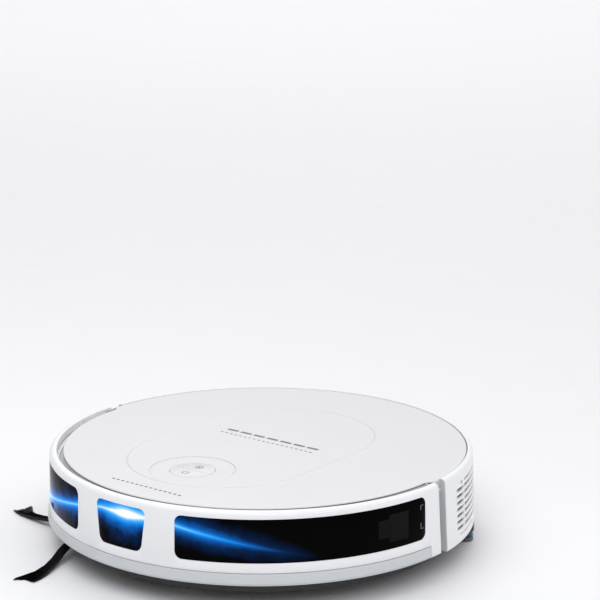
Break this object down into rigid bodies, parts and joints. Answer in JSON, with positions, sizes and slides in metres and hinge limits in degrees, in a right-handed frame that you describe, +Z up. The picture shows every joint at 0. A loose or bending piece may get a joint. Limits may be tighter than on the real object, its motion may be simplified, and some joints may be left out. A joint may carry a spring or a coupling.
{
  "type": "robot vacuum",
  "caption": "Low round robot vacuum with a half-ring bumper, dark sensor windows, brushes, a slide-out dust box and a mop module.",
  "frame": {"origin": "on the floor under the centre of the round body, where the wheels touch", "axes": "+Z up, -Y the front of the robot, +X the robot's own left"},
  "size_m": [0.383, 0.3801, 0.0796],
  "materials": {
    "white_shell": "satin moulded ABS, white",
    "white_cover": "satin painted ABS, white",
    "window_black": "polished infrared-clear acrylic, near black",
    "strip_grey": "soft moulded elastomer, light grey",
    "chassis_black": "fine-textured ABS, black",
    "inner_grey": "moulded ABS, mid grey",
    "steel": "drawn steel",
    "spring_steel": "spring steel wire",
    "tyre_black": "ribbed rubber",
    "brush_rubber": "soft moulded rubber",
    "bristle_black": "nylon bristle, black",
    "board_green": "glass-fibre board, green lacquer",
    "battery_wrap": "shrink film, blue",
    "contact_metal": "plated contact",
    "bin_smoke": "smoke grey polycarbonate",
    "filter_white": "pleated filter paper",
    "tank_black": "dark translucent ABS",
    "mop_blue": "moulded ABS, blue",
    "cloth_grey": "looped microfibre, grey",
    "key_white": "satin moulded ABS, white"
  },
  "bodies": {
    "chassis": {"chassis_base": "chassis_black", "brush_chamber": "chassis_black", "chassis_screws": "steel", "rear_housing": "white_shell", "deck_frame": "inner_grey", "top_cover": "white_cover", "key_board": "board_green", "bumper_springs": "spring_steel", "bump_switches": "chassis_black", "wheel_cradle_left": "inner_grey", "wheel_cradle_right": "inner_grey", "suspension_pins": "steel", "suspension_springs": "spring_steel", "side_brush_gearbox": "chassis_black", "brush_end_caps": "inner_grey", "brush_guard": "chassis_black", "brush_drive": "inner_grey", "battery_pack": "battery_wrap", "battery_hatch": "chassis_black", "main_board": "board_green", "laser_base": "chassis_black", "fan_housing": "inner_grey", "fan_motor": "steel", "cliff_windows": "window_black", "charge_contacts": "contact_metal"},
    "bumper": {"bumper_shell": "white_shell", "bumper_strip": "strip_grey", "window_front": "window_black", "window_left": "window_black", "window_right": "window_black"},
    "home_key": {"home_key": "key_white"},
    "power_key": {"power_key": "key_white"},
    "left_arm": {"suspension_arm_left": "chassis_black", "drive_motor_left": "steel"},
    "right_arm": {"suspension_arm_right": "chassis_black", "drive_motor_right": "steel"},
    "left_wheel": {"wheel_hub_left": "inner_grey", "tyre_left": "tyre_black"},
    "right_wheel": {"wheel_hub_right": "inner_grey", "tyre_right": "tyre_black"},
    "caster": {"caster_fork": "chassis_black", "caster_axle": "steel"},
    "caster_wheel": {"caster_wheel": "tyre_black"},
    "side_brush": {"side_brush_hub": "brush_rubber", "side_brush_bristles": "bristle_black"},
    "main_brush": {"main_brush_core": "chassis_black", "main_brush_blades": "brush_rubber"},
    "laser_head": {"laser_head": "chassis_black"},
    "laser_pulley": {"laser_pulley": "inner_grey"},
    "fan_impeller": {"fan_impeller": "inner_grey"},
    "dust_box": {"dustbin_body": "bin_smoke", "dustbin_lid": "bin_smoke", "dust_filter": "filter_white"},
    "release_key": {"release_key": "white_shell"},
    "port_flap": {"port_flap": "brush_rubber"},
    "mop": {"tank_tray": "tank_black", "tank_lid": "tank_black", "filler_cap": "brush_rubber", "mop_plate": "mop_blue", "mop_cloth": "cloth_grey"}
  },
  "joints": [
    {"name": "bumper_press", "type": "slide", "parent": "chassis", "child": "bumper", "axis": [0, 1, 0], "range_m": [0, 0.004], "stiffness_N_per_m": 300, "springref_m": -0.003, "deforming": ["bumper_springs"]},
    {"name": "home_key_press", "type": "slide", "parent": "chassis", "child": "home_key", "axis": [0, 0, -1], "range_m": [0, 0.0008], "stiffness_N_per_m": 1500, "springref_m": -0.0004},
    {"name": "power_key_press", "type": "slide", "parent": "chassis", "child": "power_key", "axis": [0, 0, -1], "range_m": [0, 0.0008], "stiffness_N_per_m": 1500, "springref_m": -0.0004},
    {"name": "left_suspension", "type": "hinge", "parent": "chassis", "child": "left_arm", "pos_m": [0.118, -0.038, 0.05], "axis": [-1, 0, 0], "range_deg": [0, 20], "stiffness_Nm_per_rad": 0.2, "springref_deg": 34.38},
    {"name": "right_suspension", "type": "hinge", "parent": "chassis", "child": "right_arm", "pos_m": [-0.118, -0.038, 0.05], "axis": [-1, 0, 0], "range_deg": [0, 20], "stiffness_Nm_per_rad": 0.2, "springref_deg": 34.38},
    {"name": "left_wheel_spin", "type": "hinge", "parent": "left_arm", "child": "left_wheel", "pos_m": [0.118, 0, 0.033], "axis": [1, 0, 0], "continuous": true},
    {"name": "right_wheel_spin", "type": "hinge", "parent": "right_arm", "child": "right_wheel", "pos_m": [-0.118, 0, 0.033], "axis": [1, 0, 0], "continuous": true},
    {"name": "caster_swivel", "type": "hinge", "parent": "chassis", "child": "caster", "pos_m": [0, -0.139, 0.02], "axis": [0, 0, 1], "continuous": true},
    {"name": "caster_roll", "type": "hinge", "parent": "caster", "child": "caster_wheel", "pos_m": [0, -0.135, 0.0095], "axis": [1, 0, 0], "continuous": true},
    {"name": "side_brush_spin", "type": "hinge", "parent": "chassis", "child": "side_brush", "pos_m": [-0.105, -0.103, 0.008], "axis": [0, 0, 1], "continuous": true, "deforming": ["side_brush_bristles"]},
    {"name": "main_brush_spin", "type": "hinge", "parent": "chassis", "child": "main_brush", "pos_m": [0, 0.012, 0.023], "axis": [1, 0, 0], "continuous": true},
    {"name": "laser_spin", "type": "hinge", "parent": "chassis", "child": "laser_head", "pos_m": [0, -0.118, 0.05], "axis": [0, 0, 1], "continuous": true},
    {"name": "laser_pulley_spin", "type": "hinge", "parent": "chassis", "child": "laser_pulley", "pos_m": [0.04, -0.136, 0.043], "axis": [0, 0, 1], "continuous": true},
    {"name": "fan_spin", "type": "hinge", "parent": "chassis", "child": "fan_impeller", "pos_m": [0.093, 0.084, 0.046], "axis": [1, 0, 0], "continuous": true},
    {"name": "dust_box_slide", "type": "slide", "parent": "chassis", "child": "dust_box", "axis": [0, 1, 0], "range_m": [0, 0.14]},
    {"name": "release_key_press", "type": "slide", "parent": "dust_box", "child": "release_key", "axis": [0, -1, 0], "range_m": [0, 0.002], "stiffness_N_per_m": 800, "springref_m": -0.001},
    {"name": "port_flap_swing", "type": "hinge", "parent": "dust_box", "child": "port_flap", "pos_m": [0, 0.1724, 0.0436], "axis": [1, 0, 0], "range_deg": [0, 70]},
    {"name": "mop_slide", "type": "slide", "parent": "chassis", "child": "mop", "axis": [0, 1, 0], "range_m": [0, 0.09]}
  ],
  "couplings": [
    {"joint": "laser_spin", "follows": "laser_pulley_spin", "ratio": 0.2}
  ]
}
